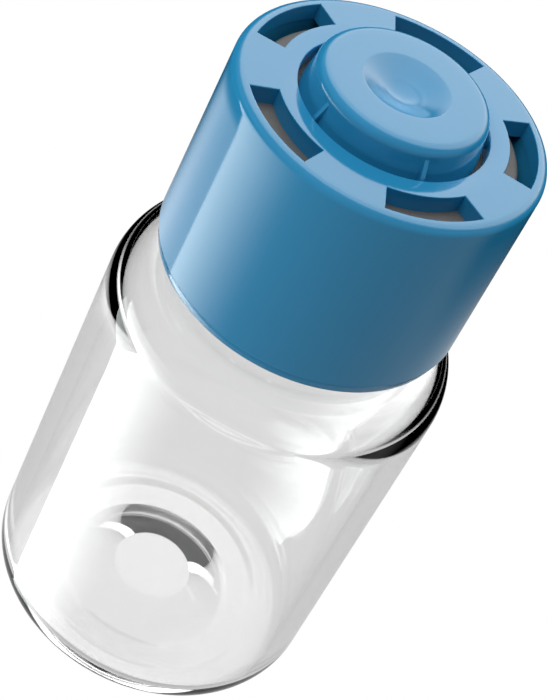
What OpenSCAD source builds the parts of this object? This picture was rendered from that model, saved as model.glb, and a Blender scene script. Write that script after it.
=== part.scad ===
// Injection vial with a press-on cap: glass container, rubber stopper,
// slotted cap with snap hooks, and a flip-off button held by tear bridges.
// Units mm, +Z up, origin at the centre of the base's resting plane.

/* [Glass] */
// outside diameter of the glass body
body_d = 30; // [24:0.5:40]
// height of the glass from the resting plane to the lip
glass_h = 55; // [45:0.5:80]
// thickness of the glass body wall
wall_t = 1.5; // [1:0.1:2.5]
// outside diameter of the neck
neck_d = 17.5; // [16:0.1:18.4]
// outside diameter of the lip flange
flange_d = 20; // [19:0.1:24]
// height of the lip flange
flange_h = 3.6; // [3:0.1:4.4]
// bore of the neck
bore_d = 12.6; // [10:0.1:13.4]
// outside radius of the shoulder
shoulder_r = 5.5; // [4:0.1:6.5]
// outside radius where the shoulder runs into the neck
neck_root_r = 2.5; // [1.5:0.1:3]
// outside radius of the heel
heel_r = 3; // [2:0.1:4]
// height of the push-up in the base
punt_h = 1.87; // [1.2:0.01:1.9]
// radius of the push-up's rim
punt_r = 7.9; // [6:0.1:8.4]
// radius of the flat disc at the top of the push-up
punt_flat_r = 3.7; // [2.5:0.1:4.5]
// height of the inner floor over the push-up
floor_h = 2.3; // [2.3:0.1:3]

/* [Stopper] */
// thickness of the stopper's flange
stopper_t = 3.5; // [2.8:0.1:4.4]
// how far the plug reaches into the neck
plug_h = 8.4; // [7:0.1:10.2]
// running clearance between plug and neck, on the radius
plug_gap = 0.05; // [0.02:0.01:0.1]

/* [Cap] */
// radial space between the lip flange and the inside of the skirt
cap_gap = 1.8; // [1.4:0.05:2.2]
// thickness of the skirt at its top
skirt_t = 1; // [0.8:0.05:1.4]
// draft of the skirt, added to its radius at the bottom
skirt_draft = 0.2; // [0:0.05:0.4]
// height of the cap from its bottom edge to its top face
cap_h = 18; // [15:0.1:20]
// thickness of the top plate
plate_t = 1.5; // [1.2:0.05:1.9]
// radius of the outer top edge
cap_edge_r = 0.8; // [0.4:0.05:1.1]
// height of the bevel band at the bottom edge
band_h = 1; // [0.5:0.1:1.5]
// radius of the centre hole
hole_r = 7.78; // [7:0.02:8.6]
// inner radius of the slots
slot_r = 9.42; // [9.1:0.02:9.9]
// half of the angle that a slot covers
slot_half_a = 19.8; // [14:0.2:24]

/* [Button] */
// how far the button stands above the cap's top face
button_up = 2.3; // [1.8:0.1:3]
// radius of the button just under its top edge
button_r = 7; // [6:0.02:7.2]
// radius of the button's lower edge
button_foot_r = 7.4; // [6.5:0.02:7.5]
// radius of the button's top edge
button_edge_r = 0.9; // [0.4:0.05:1.1]
// radius of the dish in the button
dish_r = 3.5; // [2.5:0.1:4.4]
// thickness of a tear bridge
bridge_t = 0.35; // [0.25:0.05:0.6]

/* [Hidden] */
$fn = 96;
body_r = body_d / 2;
neck_r = neck_d / 2;
flange_r = flange_d / 2;
bore_r = bore_d / 2;
slots = 5;
slot_a = 360 / slots;
// the shoulder starts a fixed distance under the lip
shoulder_z = glass_h - 20;
// outer shoulder arc and the hollow arc that meets it
sh_x = body_r - shoulder_r;
root_x = neck_r + neck_root_r;
sh_len = shoulder_r + neck_root_r;
root_z = shoulder_z + sqrt(sh_len * sh_len - (root_x - sh_x) * (root_x - sh_x));
// inner shoulder arcs, tighter than the outer ones, so that the glass is thickest there
in_r = body_r - wall_t;
in_sh_r = shoulder_r - wall_t - 1;
in_sh_x = in_r - in_sh_r;
in_sh_z = shoulder_z + 0.5;
in_root_r = neck_root_r + 1.5;
in_root_x = bore_r + in_root_r;
in_len = in_sh_r + in_root_r;
in_root_z = in_sh_z + sqrt(in_len * in_len - (in_root_x - in_sh_x) * (in_root_x - in_sh_x));
flange_z = glass_h - flange_h;
// round the push-up the floor and heel keep the wall's thickness
floor_z = wall_t;
in_heel_r = heel_r - wall_t;
in_heel_x = body_r - heel_r;
stopper_top = glass_h + stopper_t;
cap_top = stopper_top + plate_t;
cap_z = cap_top - cap_h;
skirt_in = flange_r + cap_gap;
cap_r = skirt_in + skirt_t;
cap_foot_r = cap_r + skirt_draft;
slot_out = skirt_in - 0.04;
stopper_r = flange_r + 0.85;
plug_r = bore_r - plug_gap;
plug_z = glass_h - plug_h;
button_top = cap_top + button_up;
button_z = stopper_top + 0.4;
hook_top = flange_z - 0.15;

// a disc in a half section, where x is the radius and y is the height
module disc(x, z, r) {
  translate([x, z]) circle(r = r);
}

// a rectangle in a half section, from its edges
module box2(x0, x1, z0, z1) {
  translate([x0, z0]) square([x1 - x0, z1 - z0]);
}

// outside of the glass, as a filled half section
module glass_outer() {
  difference() {
    union() {
      box2(0, body_r, heel_r, shoulder_z);
      box2(0, body_r - heel_r, 0, heel_r);
      intersection() {
        disc(body_r - heel_r, heel_r, heel_r);
        box2(body_r - heel_r, body_r, 0, heel_r);
      }
      intersection() {
        disc(sh_x, shoulder_z, shoulder_r);
        box2(sh_x, body_r, shoulder_z, shoulder_z + shoulder_r);
      }
      polygon([
        [0, shoulder_z],
        [sh_x, shoulder_z],
        [sh_x + shoulder_r * (root_x - sh_x) / sh_len,
         shoulder_z + shoulder_r * (root_z - shoulder_z) / sh_len],
        [root_x, root_z],
        [neck_r, root_z],
        [0, root_z]
      ]);
      box2(0, neck_r, root_z, flange_z);
      box2(neck_r, neck_r + 0.6, flange_z - 0.6, flange_z);
      box2(0, flange_r - 0.7, flange_z, glass_h);
      box2(flange_r - 0.7, flange_r, flange_z + 0.3, glass_h - 0.7);
      box2(flange_r - 0.7, flange_r - 0.3, flange_z, flange_z + 0.3);
      intersection() {
        disc(flange_r - 0.7, glass_h - 0.7, 0.7);
        box2(flange_r - 0.7, flange_r, glass_h - 0.7, glass_h);
      }
      intersection() {
        disc(flange_r - 0.3, flange_z + 0.3, 0.3);
        box2(flange_r - 0.3, flange_r, flange_z, flange_z + 0.3);
      }
    }
    disc(root_x, root_z, neck_root_r);
    disc(neck_r + 0.6, flange_z - 0.6, 0.6);
    // the push-up in the base
    polygon([
      [-1, -1],
      [punt_r, -1],
      [punt_r, 0],
      [punt_flat_r, punt_h],
      [-1, punt_h]
    ]);
  }
}

// inside of the glass, as a filled half section
module glass_inner() {
  difference() {
    union() {
      box2(-1, in_r, heel_r, in_sh_z);
      box2(-1, in_heel_x, floor_z, heel_r);
      intersection() {
        disc(in_heel_x, heel_r, in_heel_r);
        box2(in_heel_x, in_r, floor_z, heel_r);
      }
      intersection() {
        disc(in_sh_x, in_sh_z, in_sh_r);
        box2(in_sh_x, in_r, in_sh_z, in_sh_z + in_sh_r);
      }
      polygon([
        [-1, in_sh_z],
        [in_sh_x, in_sh_z],
        [in_sh_x + in_sh_r * (in_root_x - in_sh_x) / in_len,
         in_sh_z + in_sh_r * (in_root_z - in_sh_z) / in_len],
        [in_root_x, in_root_z],
        [bore_r, in_root_z],
        [-1, in_root_z]
      ]);
      box2(-1, bore_r, in_root_z, glass_h + 1);
    }
    disc(in_root_x, in_root_z, in_root_r);
    // the floor rises over the push-up
    polygon([
      [-1, 0],
      [in_heel_x - 0.6, 0],
      [in_heel_x - 0.6, floor_z],
      [punt_r + 0.9, floor_h],
      [-1, floor_h]
    ]);
  }
}

module vial_glass() {
  color([0.89, 0.9, 0.9, 0.35])
    rotate_extrude()
      intersection() {
        difference() {
          glass_outer();
          glass_inner();
        }
        box2(0, body_r + 1, -1, glass_h + 1);
      }
}

module stopper() {
  color([0.37, 0.38, 0.39])
    difference() {
      union() {
        translate([0, 0, glass_h]) cylinder(r = stopper_r, h = stopper_t);
        translate([0, 0, plug_z + 0.8]) cylinder(r = plug_r, h = plug_h - 0.8);
        translate([0, 0, plug_z]) cylinder(r1 = plug_r - 0.5, r2 = plug_r, h = 0.8);
      }
      // hollow leg, shallow groove round the needle target
      translate([0, 0, plug_z - 1]) cylinder(r = bore_r - 2.2, h = plug_h - 1.9);
      translate([0, 0, stopper_top - 0.3])
        difference() {
          cylinder(r = 4.4, h = 1);
          translate([0, 0, -1]) cylinder(r = 3.6, h = 3);
        }
    }
}

// a ring sector, open on the inside of r0 and the outside of r1
module sector(r0, r1, h, half_a) {
  rotate([0, 0, -half_a])
    rotate_extrude(angle = 2 * half_a)
      translate([r0, 0]) square([r1 - r0, h]);
}

// skirt with its bevel band, and the top plate with its rounded outer edge
module cap_section() {
  polygon([
    [skirt_in, cap_z],
    [cap_foot_r - 0.25, cap_z],
    [cap_foot_r, cap_z + band_h],
    [cap_r, cap_top - cap_edge_r],
    [skirt_in, cap_top - cap_edge_r]
  ]);
  box2(hole_r, cap_r - cap_edge_r, cap_top - plate_t, cap_top);
  box2(hole_r, cap_r - cap_edge_r / 4, cap_top - plate_t, cap_top - cap_edge_r);
  intersection() {
    disc(cap_r - cap_edge_r, cap_top - cap_edge_r, cap_edge_r);
    box2(cap_r - cap_edge_r, cap_r, cap_top - cap_edge_r, cap_top);
  }
}

module cap_ring() {
  color([0.3, 0.52, 0.68])
    difference() {
      rotate_extrude() cap_section();
      for (i = [0 : slots - 1])
        rotate([0, 0, i * slot_a])
          translate([0, 0, cap_top - plate_t - 1])
            sector(slot_r, slot_out, plate_t + 2, slot_half_a);
    }
}

// a hook under the lip: flat catching face on top, lead-in slope below
module snap_hook(i) {
  color([0.3, 0.52, 0.68])
    rotate([0, 0, i * slot_a - slot_half_a])
      rotate_extrude(angle = 2 * slot_half_a)
        polygon([
          [skirt_in, hook_top - 4],
          [skirt_in, hook_top],
          [slot_r, hook_top],
          [slot_r, hook_top - 0.8]
        ]);
}

module snap_hook_1() snap_hook(0);
module snap_hook_2() snap_hook(1);
module snap_hook_3() snap_hook(2);
module snap_hook_4() snap_hook(3);
module snap_hook_5() snap_hook(4);

// the button's solid outside, without its dish and hollow
module button_body() {
  rotate_extrude() {
    polygon([
      [0, button_z],
      [button_foot_r, button_z],
      [button_r, button_top - button_edge_r],
      [0, button_top - button_edge_r]
    ]);
    box2(0, button_r - button_edge_r, button_top - button_edge_r - 0.1, button_top);
    intersection() {
      disc(button_r - button_edge_r, button_top - button_edge_r, button_edge_r);
      box2(button_r - button_edge_r, button_r, button_top - button_edge_r, button_top);
    }
  }
}

module flip_button() {
  color([0.34, 0.55, 0.7])
    difference() {
      button_body();
      translate([0, 0, button_top - 0.88])
        cylinder(r1 = dish_r - 1.96, r2 = dish_r + 1.96, h = 1.76);
      translate([0, 0, button_top - 0.88 + 3.2]) sphere(r = 3.55);
      translate([0, 0, button_z - 1])
        cylinder(r = button_foot_r - 1.4, h = 2.3);
    }
}

// a thin fin from the button's wall to the edge of the centre hole
module tear_bridge(i) {
  color([0.34, 0.55, 0.7])
    difference() {
      rotate([0, 0, i * slot_a])
        translate([0, bridge_t / 2, 0])
          rotate([90, 0, 0])
            linear_extrude(height = bridge_t)
              polygon([
                [button_r - 0.5, button_top - button_edge_r - 0.05],
                [button_r - 0.02, button_top - button_edge_r - 0.05],
                [hole_r - 0.12, cap_top + 0.1],
                [hole_r - 0.06, cap_top - 0.1],
                [hole_r - 0.06, cap_top - 0.7],
                [button_r - 0.5, cap_top - 0.9]
              ]);
      button_body();
    }
}

module tear_bridge_1() tear_bridge(0);
module tear_bridge_2() tear_bridge(1);
module tear_bridge_3() tear_bridge(2);
module tear_bridge_4() tear_bridge(3);
module tear_bridge_5() tear_bridge(4);

vial_glass();
stopper();
cap_ring();
snap_hook_1();
snap_hook_2();
snap_hook_3();
snap_hook_4();
snap_hook_5();
flip_button();
tear_bridge_1();
tear_bridge_2();
tear_bridge_3();
tear_bridge_4();
tear_bridge_5();
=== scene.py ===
"""Injection vial with a press-on flip-off cap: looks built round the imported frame. Metres, +Z up."""

import math

import bmesh
import bpy
from mathutils import Matrix, Vector


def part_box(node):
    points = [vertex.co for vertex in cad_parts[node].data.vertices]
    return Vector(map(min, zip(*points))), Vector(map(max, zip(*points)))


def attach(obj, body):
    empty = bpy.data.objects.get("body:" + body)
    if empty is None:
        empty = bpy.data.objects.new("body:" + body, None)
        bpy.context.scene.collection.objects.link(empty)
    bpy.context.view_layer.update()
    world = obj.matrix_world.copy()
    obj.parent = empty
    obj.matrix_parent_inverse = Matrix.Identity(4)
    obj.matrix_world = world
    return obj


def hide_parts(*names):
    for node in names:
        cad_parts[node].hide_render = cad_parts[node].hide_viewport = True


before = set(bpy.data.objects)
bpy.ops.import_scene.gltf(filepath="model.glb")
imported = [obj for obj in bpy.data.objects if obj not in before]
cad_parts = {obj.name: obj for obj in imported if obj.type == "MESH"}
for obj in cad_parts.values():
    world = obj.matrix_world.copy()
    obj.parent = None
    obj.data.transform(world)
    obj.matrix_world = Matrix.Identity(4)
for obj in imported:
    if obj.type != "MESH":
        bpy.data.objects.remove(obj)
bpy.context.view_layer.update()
MM = 0.001

# sizes that follow the frame
GLASS_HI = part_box("vial_glass")[1]
STOPPER_LO, STOPPER_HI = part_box("stopper")
CAP_LO, CAP_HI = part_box("cap_ring")
HOOK_LO, HOOK_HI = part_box("snap_hook_1")
BUTTON_LO, BUTTON_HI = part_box("flip_button")
BODY_R = GLASS_HI.x
LIP_Z = GLASS_HI.z
STOPPER_R = STOPPER_HI.x
STOPPER_TOP = STOPPER_HI.z
PLUG_Z = STOPPER_LO.z
CAP_FOOT_R = CAP_HI.x
CAP_Z = CAP_LO.z
CAP_TOP = CAP_HI.z
HOOK_R = HOOK_LO.x
HOOK_Z, HOOK_TOP = HOOK_LO.z, HOOK_HI.z
BUTTON_FOOT_R = BUTTON_HI.x
BUTTON_Z = BUTTON_LO.z
BUTTON_TOP = BUTTON_HI.z

# glass
WALL = 1.5 * MM
NECK_R = 8.75 * MM
LIP_R = 10 * MM
LIP_H = 3.6 * MM
BORE_R = 6.3 * MM
SHOULDER_Z = LIP_Z - 20 * MM
SHOULDER_R = 5.5 * MM
NECK_ROOT_R = 2.5 * MM
IN_SHOULDER_R = 3 * MM
IN_SHOULDER_Z = SHOULDER_Z + 0.5 * MM
HEEL_R = 3 * MM
FLOOR_Z = 2.3 * MM
HEEL_FLOOR_Z = 1.5 * MM
PUNT_R = 7.9 * MM
PUNT_STEP = 0.02 * MM
PUNT_FLAT_R = 3.7 * MM
PUNT_H = 1.87 * MM
PUNT_EDGE = 0.1 * MM
FLOOR_RISE_R = 11.4 * MM
FLOOR_FLAT_R = 8.8 * MM
FLOOR_RISE_STEPS = 12
LIP_HOLLOW = 0.6 * MM
LIP_LOW_ROUND = 0.3 * MM
LIP_TOP_ROUND = 0.7 * MM
MOUTH_ROUND = 0.3 * MM

# cap
SKIRT_T = 1 * MM
SKIRT_DRAFT = 0.2 * MM
CAP_R = CAP_FOOT_R - SKIRT_DRAFT
SKIRT_IN = CAP_R - SKIRT_T
PLATE_T = 1.5 * MM
CAP_EDGE = 0.8 * MM
BAND_H = 1 * MM
BAND_IN = 0.25 * MM
HOLE_R = 7.78 * MM
SLOT_IN = 9.42 * MM
SLOT_OUT = SKIRT_IN - 0.04 * MM
SLOTS = 5
SLOT_A = math.tau / SLOTS
SLOT_HALF_A = math.radians(19.8)

# button
BUTTON_R = 7 * MM
BUTTON_EDGE = 0.9 * MM
DISH_R = 3.5 * MM
DISH_PIT_R = 1.54 * MM
DISH_H = 0.88 * MM
BRIDGE_T = 0.35 * MM

# a turn of the cap is cut so that the ends of the slots fall on its steps
STEPS = 200
GLASS_STEPS = 240


# ---------------------------------------------------------------- meshes


def arc(cx, cz, r, a0, a1, n=10):
    """Points of a round stretch of a half section, from angle a0 to a1 in degrees."""
    turns = [math.radians(a0 + (a1 - a0) * i / n) for i in range(n + 1)]
    return [(cx + r * math.cos(a), cz + r * math.sin(a)) for a in turns]


def between(x0, z0, x1, z1, n):
    """Points that cut a straight stretch of a half section into n, without its ends."""
    return [(x0 + (x1 - x0) * i / n, z0 + (z1 - z0) * i / n) for i in range(1, n)]


def lathe(section, closed=True, steps=STEPS):
    """A half section turned all the way round the axis, as a bmesh."""
    bm = bmesh.new()
    verts = [bm.verts.new((x, 0, z)) for x, z in section]
    edges = [bm.edges.new(pair) for pair in zip(verts, verts[1:])]
    if closed:
        edges.append(bm.edges.new((verts[-1], verts[0])))
    bmesh.ops.spin(bm, geom=verts + edges, axis=(0, 0, 1), cent=(0, 0, 0),
                   angle=math.tau, steps=steps, use_merge=True)
    bmesh.ops.remove_doubles(bm, verts=bm.verts, dist=1e-7)
    bmesh.ops.recalc_face_normals(bm, faces=bm.faces)
    return bm


def piece(name, bm, body, slot, material, *nodes, sharp=35):
    """A finished bmesh as a piece that rides on a body and stands for CAD nodes."""
    mesh = bpy.data.meshes.new(name)
    bm.normal_update()
    bm.to_mesh(mesh)
    bm.free()
    mesh.shade_smooth()
    mesh.set_sharp_from_angle(angle=math.radians(sharp))
    obj = bpy.data.objects.new(name, mesh)
    bpy.context.scene.collection.objects.link(obj)
    mesh.materials.append(material)
    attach(obj, body)
    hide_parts(*nodes)
    return obj


def polar(point):
    """Radius, and angle from the middle of the nearest slot."""
    a = math.atan2(point.y, point.x)
    return math.hypot(point.x, point.y), (a + SLOT_A / 2) % SLOT_A - SLOT_A / 2


# ---------------------------------------------------------------- shader maths


class Val:
    """A shader socket with Python's operators."""

    def __init__(self, tree, socket):
        self.tree, self.socket = tree, socket

    def math(self, op, *values, clamp=False):
        return self.tree.node("ShaderNodeMath", {"operation": op, "use_clamp": clamp},
                              {i: v for i, v in enumerate((self, *values))})

    def __add__(self, other):
        return self.math("ADD", other)

    __radd__ = __add__

    def __mul__(self, other):
        return self.math("MULTIPLY", other)

    __rmul__ = __mul__

    def __sub__(self, other):
        return self.math("SUBTRACT", other)

    def __rsub__(self, other):
        return self.math("MULTIPLY_ADD", -1.0, other)

    def __gt__(self, other):
        return self.math("GREATER_THAN", other)

    def __lt__(self, other):
        return self.math("LESS_THAN", other)

    def clamp(self):
        return self.math("ADD", 0.0, clamp=True)


class Tree:
    """A material's or the world's node tree."""

    def __init__(self, owner):
        owner.use_nodes = True
        self.nodes = owner.node_tree.nodes
        self.links = owner.node_tree.links
        self.nodes.clear()

    def node(self, kind, settings=None, inputs=None, out=0):
        n = self.nodes.new(kind)
        for key, value in (settings or {}).items():
            setattr(n, key, value)
        for key, value in (inputs or {}).items():
            socket = n.inputs[key]
            if isinstance(value, Val):
                self.links.new(value.socket, socket)
            else:
                socket.default_value = value
        return Val(self, n.outputs[out]) if n.outputs else None

    def coords(self):
        return self.node("ShaderNodeTexCoord", out="Object")

    def noise(self, scale, detail=2.0, rough=0.5):
        return self.node("ShaderNodeTexNoise", inputs={
            "Vector": self.coords(), "Scale": scale, "Detail": detail, "Roughness": rough})

    def mix(self, factor, a, b):
        n = self.nodes.new("ShaderNodeMix")
        n.data_type = "RGBA"
        for index, value in ((0, factor), (6, a), (7, b)):
            if isinstance(value, Val):
                self.links.new(value.socket, n.inputs[index])
            else:
                n.inputs[index].default_value = value
        return Val(self, n.outputs[2])

    def ramp(self, value, from_low, from_high, low, high):
        return self.node("ShaderNodeMapRange", {"interpolation_type": "SMOOTHSTEP"}, {
            "Value": value, "From Min": from_low, "From Max": from_high,
            "To Min": low, "To Max": high})

    def bump(self, height, strength, distance):
        return self.node("ShaderNodeBump", inputs={
            "Height": height, "Strength": strength, "Distance": distance})

    def surface(self, shader):
        self.node("ShaderNodeOutputMaterial", inputs={"Surface": shader})


def moulded_plastic(name, colour, deep, roughness):
    """Glossy moulded plastic: a faint cloud in the pigment and a fine mould grain."""
    mat = bpy.data.materials.new(name)
    t = Tree(mat)
    cloud = t.noise(220.0, 3.0)
    grain = t.noise(9000.0, 2.0, 0.6)
    tint = t.mix(cloud, deep, colour)
    polish = roughness + (t.noise(900.0, 2.0) - 0.5) * 0.03
    t.surface(t.node("ShaderNodeBsdfPrincipled", inputs={
        "Base Color": tint,
        "Roughness": polish,
        "IOR": 1.5,
        "Normal": t.bump(grain, 0.05, 0.005 * MM),
    }))
    return mat


def clear_glass():
    """Fire-polished tubing glass, with a faint waviness along the drawn wall."""
    mat = bpy.data.materials.new("clear_glass")
    t = Tree(mat)
    wave = t.noise(90.0, 1.0)
    t.surface(t.node("ShaderNodeBsdfPrincipled", inputs={
        "Base Color": (0.875, 0.877, 0.875, 1.0),
        "Roughness": (t.noise(600.0, 2.0) - 0.66) * 0.06,
        "IOR": 1.5,
        "Transmission Weight": 1.0,
        "Normal": t.bump(wave, 0.03, 0.1 * MM),
    }))
    return mat


def stopper_rubber():
    """Dark grey butyl rubber with a satin skin."""
    mat = bpy.data.materials.new("stopper_rubber")
    t = Tree(mat)
    speck = t.noise(5000.0, 3.0, 0.7)
    shade = t.mix(speck, (0.06, 0.058, 0.056, 1.0), (0.12, 0.115, 0.11, 1.0))
    t.surface(t.node("ShaderNodeBsdfPrincipled", inputs={
        "Base Color": shade,
        "Roughness": 0.5 + t.noise(800.0) * 0.2,
        "IOR": 1.52,
        "Normal": t.bump(speck, 0.25, 0.02 * MM),
    }))
    return mat


# ---------------------------------------------------------------- pieces


def s_curve(x, z, r, root_x, root_r):
    """The shoulder's round and the hollow round that carries it into the neck."""
    reach = r + root_r
    root_z = z + math.sqrt(reach ** 2 - (root_x - x) ** 2)
    lean = math.degrees(math.atan2(root_z - z, root_x - x))
    return arc(x, z, r, 0, lean, 24) + arc(root_x, root_z, root_r, lean + 180, 180, 12)[1:]


def glass_outside():
    """From the middle of the base, under the heel, up the wall to the lip's top edge."""
    x = BODY_R - SHOULDER_R
    punt = [(0, PUNT_H), (PUNT_FLAT_R, PUNT_H)]
    step = [(PUNT_R, PUNT_STEP)]
    foot = [(PUNT_R + PUNT_EDGE, 0)]
    heel = arc(BODY_R - HEEL_R, HEEL_R, HEEL_R, -90, 0, 20)
    wall = between(BODY_R, HEEL_R, BODY_R, SHOULDER_Z, 12)
    shoulder = s_curve(x, SHOULDER_Z, SHOULDER_R, NECK_R + NECK_ROOT_R, NECK_ROOT_R)
    lip_z = LIP_Z - LIP_H
    under = arc(NECK_R + LIP_HOLLOW, lip_z - LIP_HOLLOW, LIP_HOLLOW, 180, 90, 6)
    lip = arc(LIP_R - LIP_LOW_ROUND, lip_z + LIP_LOW_ROUND, LIP_LOW_ROUND, -90, 0, 5)
    lip += arc(LIP_R - LIP_TOP_ROUND, LIP_Z - LIP_TOP_ROUND, LIP_TOP_ROUND, 0, 90, 8)
    return punt + step + foot + heel + wall + shoulder + under + lip


def glass_inside():
    """From the mouth down the bore, over the inner shoulder and wall to the floor."""
    in_r = BODY_R - WALL
    in_root_r = NECK_ROOT_R + WALL
    neck = s_curve(in_r - IN_SHOULDER_R, IN_SHOULDER_Z, IN_SHOULDER_R,
                   BORE_R + in_root_r, in_root_r)
    mouth = arc(BORE_R + MOUTH_ROUND, LIP_Z - MOUTH_ROUND, MOUTH_ROUND, 90, 180, 5)
    wall = between(in_r, IN_SHOULDER_Z, in_r, HEEL_R, 12)
    heel = arc(BODY_R - HEEL_R, HEEL_R, HEEL_R - WALL, 0, -90, 16)
    rise = []
    for i in range(FLOOR_RISE_STEPS + 1):
        part = i / FLOOR_RISE_STEPS
        lift = (1 - math.cos(math.pi * part)) / 2
        rise.append((FLOOR_RISE_R + (FLOOR_FLAT_R - FLOOR_RISE_R) * part,
                     HEEL_FLOOR_Z + (FLOOR_Z - HEEL_FLOOR_Z) * lift))
    return mouth + neck[::-1] + wall + heel + rise + [(0, FLOOR_Z)]


def make_glass(material):
    bm = lathe(glass_outside() + glass_inside(), closed=False, steps=GLASS_STEPS)
    return piece("vial_glass_body", bm, "vial", "glass", material, "vial_glass", sharp=20)


def make_stopper(material):
    """A flange on the lip, with a shallow groove round its middle, and a hollow plug in the bore."""
    groove_r, groove_w = 4 * MM, 0.4 * MM
    rim_round, foot_round = 0.35 * MM, 0.2 * MM
    tip_h, tip_in = 0.8 * MM, 0.5 * MM
    plug_r = BORE_R - 0.05 * MM
    leg_r = BORE_R - 2.2 * MM
    leg_z = LIP_Z - 2.9 * MM
    top = STOPPER_TOP
    section = [(0, top), (groove_r - groove_w, top)]
    section += arc(groove_r, top, groove_w, 180, 360, 8)
    section += arc(STOPPER_R - rim_round, top - rim_round, rim_round, 90, 0, 6)
    section += arc(STOPPER_R - foot_round, LIP_Z + foot_round, foot_round, 0, -90, 4)
    section += [(plug_r, LIP_Z), (plug_r, PLUG_Z + tip_h), (plug_r - tip_in, PLUG_Z)]
    section += [(leg_r, PLUG_Z), (leg_r, leg_z), (0, leg_z)]
    return piece("stopper_rubber_plug", lathe(section, closed=False), "cap",
                 "stopper_rubber", material, "stopper")


def in_slot(face):
    """Whether a face of the plate, on top or below, lies in a slot."""
    r, a = polar(face.calc_center_median())
    return (SLOT_IN < r < SLOT_OUT and abs(a) < SLOT_HALF_A
            and face.calc_center_median().z > STOPPER_TOP - 0.1 * MM
            and abs(face.normal.z) > 0.9)


def cut_slots(bm):
    """Opens the plate between its two faces at every slot and walls the opening."""
    bmesh.ops.delete(bm, geom=[f for f in bm.faces if in_slot(f)], context="FACES")
    open_edges = [e for e in bm.edges if e.is_boundary]
    for i in range(SLOTS):
        rim = [e for e in open_edges if slot_index(e) == i]
        bmesh.ops.bridge_loops(bm, edges=rim)
    bmesh.ops.recalc_face_normals(bm, faces=bm.faces)


def slot_index(edge):
    """Which slot an edge belongs to."""
    mid = (edge.verts[0].co + edge.verts[1].co) / 2
    return round(math.atan2(mid.y, mid.x) / SLOT_A) % SLOTS


def make_cap(material):
    """The skirt with its bevelled foot band, and the plate with its slots and centre hole."""
    top, under = CAP_TOP, CAP_TOP - PLATE_T
    foot_round, hole_round, slot_round = 0.12 * MM, 0.1 * MM, 0.07 * MM
    foot_z = CAP_Z + foot_round
    section = [(HOLE_R, under), (SLOT_IN, under), (SLOT_OUT, under), (SKIRT_IN, under)]
    section += between(SKIRT_IN, under, SKIRT_IN, CAP_Z + 0.2 * MM, 8)
    section += arc(SKIRT_IN + foot_round, foot_z, foot_round, 180, 270, 4)
    section += arc(CAP_FOOT_R - BAND_IN - foot_round, foot_z, foot_round, -90, -10, 4)
    section += [(CAP_FOOT_R, CAP_Z + BAND_H)]
    section += between(CAP_FOOT_R, CAP_Z + BAND_H, CAP_R, top - CAP_EDGE, 10)
    section += arc(CAP_R - CAP_EDGE, top - CAP_EDGE, CAP_EDGE, 2, 90, 12)
    section += [(SLOT_OUT, top), (SLOT_IN, top)]
    section += arc(HOLE_R + hole_round, top - hole_round, hole_round, 90, 180, 4)
    bm = lathe(section)
    cut_slots(bm)
    rims = [e for e in bm.edges if on_slot_rim(e)]
    bmesh.ops.bevel(bm, geom=rims, offset=slot_round, offset_type="OFFSET", segments=3,
                    affect="EDGES", profile=0.5, material=-1)
    return piece("cap_slotted_ring", bm, "cap", "cap_plastic", material, "cap_ring", sharp=13)


def on_slot_rim(edge):
    """Whether an edge is one of those round a slot's top opening."""
    if min(v.co.z for v in edge.verts) < CAP_TOP - 1e-6 or len(edge.link_faces) != 2:
        return False
    return min(f.normal.z for f in edge.link_faces) < 0.3 and all(
        SLOT_IN - 1e-6 < polar(v.co)[0] < SLOT_OUT + 1e-6 for v in edge.verts)


def make_hook(i, material):
    """One catch under the lip: flat on top, with a lead-in slope below."""
    bm = bmesh.new()
    outer = SKIRT_IN - 0.005 * MM
    catch_h = 0.8 * MM
    points = [(outer, HOOK_Z), (outer, HOOK_TOP), (HOOK_R, HOOK_TOP), (HOOK_R, HOOK_TOP - catch_h)]
    face = bm.faces.new([bm.verts.new((x, 0, z)) for x, z in points])
    turned = bmesh.ops.spin(bm, geom=[face] + list(face.edges) + list(face.verts),
                            axis=(0, 0, 1), cent=(0, 0, 0), angle=2 * SLOT_HALF_A, steps=16)
    bmesh.ops.recalc_face_normals(bm, faces=bm.faces)
    corners = [e for e in bm.edges if len(e.link_faces) == 2
               and e.calc_face_angle(0) > math.radians(30)]
    bmesh.ops.bevel(bm, geom=corners, offset=0.12 * MM, offset_type="OFFSET", segments=2,
                    affect="EDGES", profile=0.5, material=-1)
    bmesh.ops.rotate(bm, verts=bm.verts, cent=(0, 0, 0),
                     matrix=Matrix.Rotation(i * SLOT_A - SLOT_HALF_A, 3, "Z"))
    return piece(f"hook_{i + 1}", bm, "cap", "cap_plastic", material, f"snap_hook_{i + 1}")


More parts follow.
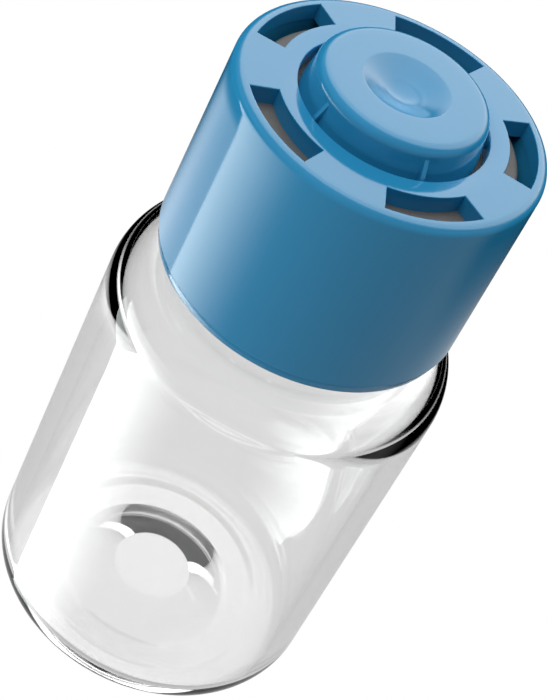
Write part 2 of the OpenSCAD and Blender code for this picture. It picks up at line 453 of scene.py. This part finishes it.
def make_button(material):
    """A tapered disc, hollow below, with a conical dish in its top and a round pit in the dish."""
    top = BUTTON_TOP
    rim_r, rim_round, foot_round = DISH_R + 0.12 * MM, 0.35 * MM, 0.1 * MM
    pit_rim_r = DISH_PIT_R - 0.04 * MM
    pit_z = top - DISH_H
    pit_r = 3.4 * MM
    pit_cz = pit_z + math.sqrt(pit_r ** 2 - pit_rim_r ** 2)
    pit_a = math.degrees(math.asin(pit_rim_r / pit_r))
    section = arc(0, pit_cz, pit_r, -90, -90 + pit_a, 12)
    section += [(DISH_PIT_R, pit_z + 0.02 * MM)]
    section += between(DISH_PIT_R, pit_z, DISH_R - 0.1 * MM, top - 0.045 * MM, 8)
    section += arc(rim_r, top - rim_round, rim_round, 114, 90, 4)
    section += between(rim_r, top, BUTTON_R - BUTTON_EDGE, top, 4)
    section += arc(BUTTON_R - BUTTON_EDGE, top - BUTTON_EDGE, BUTTON_EDGE, 90, 6, 14)
    section += between(BUTTON_R, top - BUTTON_EDGE, BUTTON_FOOT_R, BUTTON_Z + foot_round, 6)
    section += arc(BUTTON_FOOT_R - foot_round, BUTTON_Z + foot_round, foot_round, 0, -90, 4)
    inner, hollow_z = BUTTON_FOOT_R - 1.4 * MM, BUTTON_Z + 1.3 * MM
    section += [(inner, BUTTON_Z), (inner, hollow_z), (0, hollow_z)]
    bm = lathe(section, closed=False)
    return piece("flip_off_button", bm, "button", "button_plastic", material,
                 "flip_button", sharp=13)


def make_bridge(i, material):
    """A thin tapered fin from the button's wall down to the edge of the centre hole."""
    top = BUTTON_TOP - BUTTON_EDGE - 0.05 * MM
    points = [
        (BUTTON_R - 0.3 * MM, top),
        (BUTTON_R + 0.02 * MM, top),
        (HOLE_R - 0.12 * MM, CAP_TOP + 0.1 * MM),
        (HOLE_R - 0.06 * MM, CAP_TOP - 0.1 * MM),
        (HOLE_R - 0.06 * MM, CAP_TOP - 0.7 * MM),
        (BUTTON_R - 0.3 * MM, CAP_TOP - 0.9 * MM),
    ]
    bm = bmesh.new()
    face = bm.faces.new([bm.verts.new((x, -BRIDGE_T / 2, z)) for x, z in points])
    out = bmesh.ops.extrude_face_region(bm, geom=[face])
    moved = [v for v in out["geom"] if isinstance(v, bmesh.types.BMVert)]
    bmesh.ops.translate(bm, verts=moved, vec=(0, BRIDGE_T, 0))
    bmesh.ops.recalc_face_normals(bm, faces=bm.faces)
    bmesh.ops.bevel(bm, geom=list(bm.edges), offset=0.04 * MM, offset_type="OFFSET",
                    segments=2, affect="EDGES", profile=0.5, material=-1)
    bmesh.ops.rotate(bm, verts=bm.verts, cent=(0, 0, 0),
                     matrix=Matrix.Rotation(i * SLOT_A, 3, "Z"))
    return piece(f"bridge_{i + 1}", bm, "button", "button_plastic", material,
                 f"tear_bridge_{i + 1}")


# ---------------------------------------------------------------- studio


def backdrop_white():
    """Plain white for what is looked at or looked through, and clear once a ray is mirrored."""
    mat = bpy.data.materials.new("backdrop_white")
    t = Tree(mat)
    bounced = t.node("ShaderNodeLightPath", out="Glossy Depth") > 0.5
    white = t.node("ShaderNodeEmission", inputs={"Color": (1, 1, 1, 1), "Strength": 1.0})
    clear = t.node("ShaderNodeBsdfTransparent")
    t.surface(t.node("ShaderNodeMixShader", inputs={0: bounced, 1: white, 2: clear}))
    mat.cycles.emission_sampling = "NONE"
    return mat


def stage_piece(name, bm, material):
    """A finished bmesh as part of the set, which gives no light or shadow to the vial."""
    mesh = bpy.data.meshes.new(name)
    bm.to_mesh(mesh)
    bm.free()
    mesh.materials.append(material)
    obj = bpy.data.objects.new(name, mesh)
    bpy.context.scene.collection.objects.link(obj)
    obj.visible_diffuse = False
    obj.visible_glossy = False
    obj.visible_shadow = False


def make_floor():
    """A plain white floor and the white room round it, which read as one even field."""
    white = backdrop_white()
    bm = bmesh.new()
    bmesh.ops.create_circle(bm, cap_ends=True, radius=2.4, segments=64)
    bmesh.ops.translate(bm, verts=bm.verts, vec=(0, 0, -0.02 * MM))
    stage_piece("floor", bm, white)
    bm = bmesh.new()
    bmesh.ops.create_icosphere(bm, subdivisions=4, radius=2.5)
    stage_piece("room", bm, white)


def make_camera():
    """Seen from above the cap's side, with the camera rolled so that the vial leans."""
    data = bpy.data.cameras.new("camera")
    data.lens = 100.742
    data.sensor_width = 36
    data.clip_start = 0.01
    camera = bpy.data.objects.new("camera", data)
    bpy.context.scene.collection.objects.link(camera)
    turn = (Matrix.Rotation(math.radians(-15.161), 4, "Z")
            @ Matrix.Rotation(math.radians(90 - 42.191), 4, "X")
            @ Matrix.Rotation(math.radians(28.203), 4, "Z"))
    camera.matrix_world = Matrix.Translation((-0.03138, -0.1178, 0.1432)) @ turn
    bpy.context.scene.camera = camera


def toward(azimuth, elevation):
    """A direction from the vial, in degrees: azimuth from its front round to its right, and up."""
    a, e = math.radians(azimuth), math.radians(elevation)
    return Vector((math.sin(a) * math.cos(e), -math.cos(a) * math.cos(e), math.sin(e)))


def make_key_light():
    """A square panel high on the left that lights only matt surfaces."""
    size, distance, strength = 0.9, 0.9, 3.5
    aimed_at = Vector((0, 0, 0.045))
    data = bpy.data.lights.new("key", "AREA")
    data.shape = "SQUARE"
    data.size = size
    data.energy = strength * size * size * math.pi
    light = bpy.data.objects.new("key", data)
    bpy.context.scene.collection.objects.link(light)
    z = toward(-75, 74)
    x = Vector((0, 0, 1)).cross(z).normalized()
    turn = Matrix((x, z.cross(x), z)).transposed().to_4x4()
    light.matrix_world = Matrix.Translation(aimed_at + z * distance) @ turn
    light.visible_camera = False
    light.visible_glossy = False
    light.visible_transmission = False


def make_world():
    """The panels and dim walls that the surfaces mirror, and a floor that lights matt ones."""
    world = bpy.data.worlds.new("studio")
    bpy.context.scene.world = world
    t = Tree(world)
    seen = t.node("ShaderNodeTexCoord", out="Generated")
    x, y, z = (t.node("ShaderNodeSeparateXYZ", inputs={0: seen}, out=i) for i in range(3))
    azimuth = x.math("ARCTAN2", -1.0 * y) * math.degrees(1)
    elevation = z.math("ARCSINE") * math.degrees(1)

    # dim walls, black behind from a little over the horizon down, and a lighter ground
    dark = t.ramp(elevation, 25, 8, 0.0, 1.0) * t.ramp(y, -0.2, 0.2, 0.0, 1.0)
    upper = 0.4 - dark * 0.4
    lower = t.ramp(y, -0.77, 0.6, 0.45, 0.7)
    room = upper + (lower - upper) * t.ramp(elevation, -35, -42, 0.0, 1.0)
    # a tall window on the left, below the horizon, with one hard edge
    left = t.ramp(azimuth, -40, -111, 0.0, 4.8) * (azimuth > -111)
    left = left * t.ramp(elevation, -58, -54, 0.0, 1.0) * t.ramp(elevation, 0, -8, 0.0, 1.0)
    # a round soft window overhead, behind and to the right
    aim = t.node("ShaderNodeVectorMath", {"operation": "DOT_PRODUCT"},
                 {0: seen, 1: toward(150, 50)}, out=1)
    top = t.ramp(aim, math.cos(math.radians(52)), math.cos(math.radians(30)), 0.0, 2.9)
    mirrored = room + left + top
    # a low strip beyond the window's hard edge
    strip = t.ramp(elevation, -34, -36, 0.0, 1.3) * t.ramp(elevation, -44, -41, 0.0, 1.0)
    mirrored = mirrored + strip * (azimuth < -111) * t.ramp(azimuth, -175, -140, 0.0, 1.0)
    # matt surfaces are lit by the ground instead
    ground = (z < 0) * t.ramp(x, 0.3, -1.0, 0.5, 1.3)
    matt = t.node("ShaderNodeLightPath", out="Is Diffuse Ray")
    strength = mirrored + (ground - mirrored) * matt
    t.node("ShaderNodeOutputWorld", inputs={"Surface": t.node("ShaderNodeBackground", inputs={
        "Color": t.mix((left * 0.3).clamp(), (1, 1, 1, 1), (0.94, 1.0, 0.99, 1)),
        "Strength": strength})})


# ---------------------------------------------------------------- assembly

bpy.context.scene.view_settings.view_transform = "Standard"
cap_blue = moulded_plastic("cap_blue_plastic", (0.0215, 0.246, 0.475, 1.0),
                           (0.02, 0.234, 0.45, 1.0), 0.09)
button_blue = moulded_plastic("button_blue_plastic", (0.0215, 0.248, 0.48, 1.0),
                              (0.02, 0.236, 0.455, 1.0), 0.13)
glass = clear_glass()
rubber = stopper_rubber()

make_glass(glass)
make_stopper(rubber)
make_cap(cap_blue)
make_button(button_blue)
for index in range(SLOTS):
    make_hook(index, cap_blue)
    make_bridge(index, button_blue)

make_floor()
make_world()
make_key_light()
make_camera()
